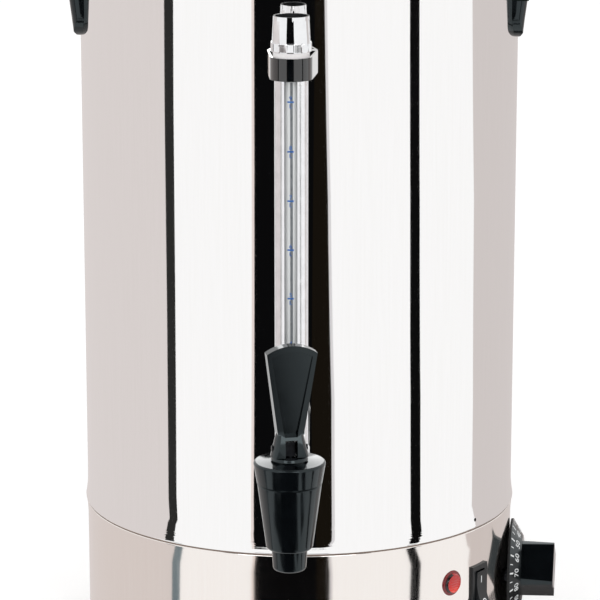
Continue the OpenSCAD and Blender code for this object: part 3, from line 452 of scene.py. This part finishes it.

# Gauge glass marks: a thin grey strip down the front of the milky tube, and on it one short printed blue line
# for each litre, with its figure above it and the letter for litre below.
glass_r, ink_lift, half_ink = 0.005, 0.00005, 0.00005
line_left, line_right, line_low, line_high = -0.0004, 0.0009, 0.158, 0.3425
top_litre, top_litre_up, litre_step = 9, 0.2476, 0.0254
mark_left, mark_right, half_mark = -0.0018, 0.0014, 0.0004
sign_x, sign_h, figure_up, letter_up, capital_share = -0.0002, 0.0022, 0.0009, -0.0031, 0.73


def bar(left, low, right, high, cuts=1):
    points, faces = [], []
    for i in range(cuts + 1):
        x = left + (right - left) * i / cuts
        points += [Vector((x, low, -half_ink)), Vector((x, high, -half_ink)), Vector((x, high, half_ink)),
                   Vector((x, low, half_ink))]
        if i:
            b, e = 4 * i - 4, 4 * i
            faces += [(b + k, e + k, e + (k + 1) % 4, b + (k + 1) % 4) for k in range(4)]
    return points, faces + [(0, 1, 2, 3), (4 * cuts, 4 * cuts + 3, 4 * cuts + 2, 4 * cuts + 1)]


def figures(text, height):
    curve = bpy.data.curves.new("figures", "FONT")
    curve.body = text
    curve.size = height / capital_share
    curve.extrude = half_ink
    curve.align_x = "CENTER"
    made = bpy.data.objects.new("figures", curve)
    bpy.context.collection.objects.link(made)
    bpy.context.view_layer.update()
    mesh = bpy.data.meshes.new_from_object(made.evaluated_get(bpy.context.evaluated_depsgraph_get()))
    points = [v.co.copy() for v in mesh.vertices]
    faces = [list(p.vertices) for p in mesh.polygons]
    bpy.data.objects.remove(made)
    bpy.data.curves.remove(curve)
    bpy.data.meshes.remove(mesh)
    return points, faces


def printed(name, parts, finish, body):
    points, faces = [], []
    for part_points, part_faces, bend in parts:
        faces += [[len(points) + i for i in face] for face in part_faces]
        points += [bend(p) for p in part_points]
    return fit(mesh_of(name, points, faces), finish, body, "pale_plastic")


def on_glass(p):
    turn, reach = p.x / glass_r, glass_r + ink_lift + p.z
    return Vector((reach * math.sin(turn), gauge_y - reach * math.cos(turn), p.y))


def on_ink(p):
    return on_glass(p + Vector((0, 0, 2 * half_ink)))


# fired enamel has a flat clear colour with a low gloss
blue_enamel = grained("fired_blue_enamel", "2360B4", "3A7CCB", 0.25, 0.35, 0.002, 0.000002, IOR=1.5)
# the grey strip down the glass is drawn flat grey, with the same low gloss
grey_strip_finish = grained("flat_grey_glass_strip", "74787C", "82868A", 0.25, 0.35, 0.002, 0.000002, IOR=1.5)
grey_line = bar(line_left, line_low, line_right, line_high, 3)
printed("glass_line", [(*grey_line, on_glass)], grey_strip_finish, "urn")
marks = []
for litre in range(1, top_litre + 1):
    level_z = seam_z + top_litre_up - litre_step * (top_litre - litre)
    marks.append((*bar(mark_left, level_z - half_mark, mark_right, level_z + half_mark, 3), on_ink))
    for sign, up in ((str(litre), figure_up), ("L", letter_up)):
        glyph, glyph_faces = figures(sign, sign_h)
        marks.append(([p + Vector((sign_x, level_z + up, 0)) for p in glyph], glyph_faces, on_ink))
printed("gauge_marks", marks, blue_enamel, "urn")


# Pilot lamp: a red polycarbonate lens, a low dome on a thin flange, pushed through the skirt into
# its nylon lamp holder.
def on_wall(azimuth, z, out=0.0):
    a = math.radians(azimuth)
    turn = Matrix(((math.cos(a), 0, math.sin(a), 0), (math.sin(a), 0, -math.cos(a), 0), (0, 1, 0, z),
                   (0, 0, 0, 1)))
    return turn @ Matrix.Translation((0, 0, out))


# prism lines inside the dome, about 0.7 mm apart, break up the light. Painted light: the lens is painted
# bright orange low down and darker red above, with a faint glow in the same colours, standing in for daylight
# shining through it
lamp_z, lens_low, lens_high = 0.0584, 0.0525, 0.0645
red_lens, tree = blank("clear_red_polycarbonate_painted_glow")
place = put(tree, "TexCoord", {}, {})
prism = put(tree, "TexWave", {"bands_direction": "Z"}, {"Vector": place.outputs["Object"], "Scale": 220.0,
                                                        "Distortion": 2.5, "Detail": 1.0})
split = put(tree, "SeparateXYZ", {}, {"Vector": place.outputs["Object"]})
height = put(tree, "MapRange", {}, {"Value": split.outputs["Z"], "From Min": lens_low, "From Max": lens_high})
# painted light: bright orange at the bottom of the lens, running to darker red at its top
tone = put(tree, "ValToRGB", {}, {"Fac": height.outputs[0]})
tone.color_ramp.elements[0].color = linear("FF3A0A")
tone.color_ramp.elements[1].color = linear("A8282A")
tone.color_ramp.elements.new(0.42).color = linear("C01C16")
ridge = put(tree, "Bump", {}, {"Height": prism.outputs[1], "Strength": 1.0, "Distance": 0.00025})
# the emission is a painted glow of daylight, in the same colours as the painted light
lens_skin_painted_glow = put(tree, "BsdfPrincipled", {}, {"Base Color": tone.outputs[0], "Roughness": 0.1, "IOR": 1.58,
                                             "Transmission Weight": 0.2, "Normal": ridge.outputs[0],
                                             "Emission Color": tone.outputs[0], "Emission Strength": 0.3})
put(tree, "OutputMaterial", {}, {"Surface": lens_skin_painted_glow.outputs[0]})
# painted shade: the flange is painted deep red, standing in for the light that does not come through it, and
# the dome's wall on its shaded left side is painted near black
deep_red_painted_shade = grained("deep_red_polycarbonate", "6A1012", "861618", 0.1, 0.16, 0.002, 0.000004, IOR=1.58)
shadowed_red = grained("shadowed_red_polycarbonate", "140304", "220506", 0.2, 0.3, 0.002, 0.000004, IOR=1.58)
dome_r, crown_r, flange_h, shaded_x = 0.0056, 0.0049, 0.0005, -0.001
lens_outline = [(0, 0.003), (0.0028, 0.00292), (0.0042, 0.00265), (crown_r, 0.0022), (0.0054, 0.0015),
                (dome_r, 0.0006), (0.0058, flange_h), (0.0064, flange_h), (0.0069, 0.00035), (0.0071, 0),
                (0.0071, -0.0006), (0.0051, -0.0006), (0.0051, -0.012), (0, -0.012)]
lamp_frame = on_wall(45.3, lamp_z, wall_r)
lens = fit(turned("lamp_lens", lens_outline, 48, lamp_frame), red_lens, "urn", "red_lens", "pilot_lens")
lens.data.materials.append(deep_red_painted_shade)
lens.data.materials.append(shadowed_red)
to_lamp = lamp_frame.inverted()
# the flange's faces take the painted deep red shade, and the dome's wall left of shaded_x takes the painted
# near-black shade
for face in lens.data.polygons:
    at = to_lamp @ face.center
    r = math.hypot(at.x, at.y)
    if r > dome_r or at.z < flange_h:
        face.material_index = 1
    elif r > crown_r and at.x < shaded_x:
        face.material_index = 2
wear(cream_nylon, "pilot_body")

# Rocker switch: a satin black housing that snaps into the skirt, with a dished rocker that bears a
# white bar on its upper half and a white ring on its lower half.
pivot_r, rocker_tip, rocker_half, middle_h = 0.1165, math.radians(10), 0.01, 0.00604
rocker_frame = on_wall(56.7, 0.0487, pivot_r) @ Matrix.Rotation(-rocker_tip, 4, "X")
dip = rocker_half * math.tan(rocker_tip)
dish_r = (rocker_half ** 2 + dip ** 2) / (2 * dip)


def on_rocker(p):
    return rocker_frame @ Vector((p.x, p.y, middle_h + dish_r - math.sqrt(dish_r ** 2 - p.y ** 2) + p.z))


softened("switch_housing", 0.0006, satin_black, "urn", "black_matt_plastic")
softened("switch_rocker", 0.0003, satin_black, "rocker", "black_matt_plastic")
# printing ink is opaque white and nearly matt
white_ink = grained("white_printing_ink", "E4E6E6", "F2F4F4", 0.4, 0.5, 0.001, 0.000002, IOR=1.5)
bar_half, bar_low, bar_high = 0.0003, 0.0034, 0.0072
ring_in, ring_out, ring_y, ring_sides = 0.0011, 0.0017, -0.0072, 24
ring_points = []
for i in range(ring_sides):
    a = 2 * math.pi * i / ring_sides
    for r, z in ((ring_in, -half_ink), (ring_out, -half_ink), (ring_out, half_ink), (ring_in, half_ink)):
        ring_points.append(Vector((r * math.cos(a), r * math.sin(a) + ring_y, z)))
on_bar = (*bar(-bar_half, bar_low, bar_half, bar_high), on_rocker)
off_ring = (ring_points, loop_faces(ring_sides, 4), on_rocker)
printed("switch_marks", [on_bar, off_ring], white_ink, "rocker")

# Thermostat knob: a moulded dial skirt with a square grip, pushed on the thermostat's steel shaft,
# over the two blackened screws that hold the thermostat to the skirt. White figures and ticks are
# printed on the dial, ten degrees of heat to 22 degrees of turn.
knob_frame = on_wall(84, 0.044)
knob = softened("thermostat_knob", 0.0009, gloss_black, "knob", "black_gloss_plastic")
# the rim's edge and the hollow back, which face the wall, are left as moulded and dull, and are painted a
# darker black as painted shade
shaded_dull_abs = grained("unpolished_black_abs_painted_shade", "040506", "070809", 0.7, 0.85, 0.001, 0.00001, IOR=1.53)
knob.data.materials.append(shaded_dull_abs)
edge_r, hollow_r, hollow_h = 0.0272, 0.026, 0.1262
to_knob = knob_frame.inverted()
# faces turned to the wall, and those on the rim's edge or in the hollow, take the dull black with its painted
# shade
for face in knob.data.polygons:
    at, facing = to_knob @ face.center, (to_knob.to_3x3() @ face.normal).z
    on_edge = at.xy.length > edge_r
    in_hollow = at.xy.length < hollow_r and at.z < hollow_h
    if facing < -0.2 or (facing < 0.5 and (on_edge or in_hollow)):
        face.material_index = 1
wear(black_steel, "thermostat_shaft", "thermostat_screws")

rim_r, neck_r, rim_h, neck_h, figure_r, ink_h = 0.028, 0.01872, 0.1219, 0.1277, 0.0222, 0.00006
slant = math.hypot(rim_r - neck_r, neck_h - rim_h) / (rim_r - neck_r)
coolest, hottest, known_heat, known_turn, turn_per_degree = 30, 110, 50, 125.3, 2.2
tens_half, tens_low, tens_high = 0.00045, 0.003, 0.0061
fives_half, fives_low, fives_high = 0.00025, 0.0037, 0.0059
figure_h, figure_drop = 0.0037, 0.0019
dial = []
for heat in range(coolest, hottest + 1, 5):
    turn = math.radians(known_turn + turn_per_degree * (heat - known_heat))

    def on_dial(p, turn=turn):
        r = figure_r + p.y / slant
        a = turn - p.x / r
        h = rim_h + (rim_r - r) * (neck_h - rim_h) / (rim_r - neck_r) + ink_h + p.z
        return knob_frame @ Vector((r * math.cos(a), r * math.sin(a), h))

    if heat % 10:
        dial.append((*bar(-fives_half, fives_low, fives_half, fives_high), on_dial))
    else:
        dial.append((*bar(-tens_half, tens_low, tens_half, tens_high), on_dial))
        glyph, glyph_faces = figures(str(heat), figure_h)
        dial.append(([p - Vector((0, figure_drop, 0)) for p in glyph], glyph_faces, on_dial))
printed("dial_marks", dial, white_ink, "knob")

# Cord gland: a moulded polypropylene bush at the back of the skirt, held by its nut inside, with an
# empty bore.
wear(satin_black, "cord_gland", "gland_nut")

# Heater under the tank: a cast aluminium plate with the ring element clamped to it by a plate and
# nut, the cutout and the thermostat with its copper bulb, and the terminal block.
# a casting is pale grey and finely pitted, and drawn copper is warm with a low sheen
cast_aluminium = grained("cast_aluminium", "A9AAAC", "BEBFC1", 0.4, 0.55, 0.0015, 0.00003, Metallic=1.0)
bare_copper = grained("drawn_copper_tube", "B0663F", "C77B50", 0.22, 0.34, 0.003, 0.000004, Metallic=1.0)
wear(cast_aluminium, "heat_plate")
wear(bare_copper, "thermostat_bulb")
wear(zinc_steel, "heating_ring", "clamp_plate", "clamp_nut", "cutout_screws", "terminal_screws")
wear(cream_nylon, "thermal_cutout", "thermostat_body", "terminal_block")
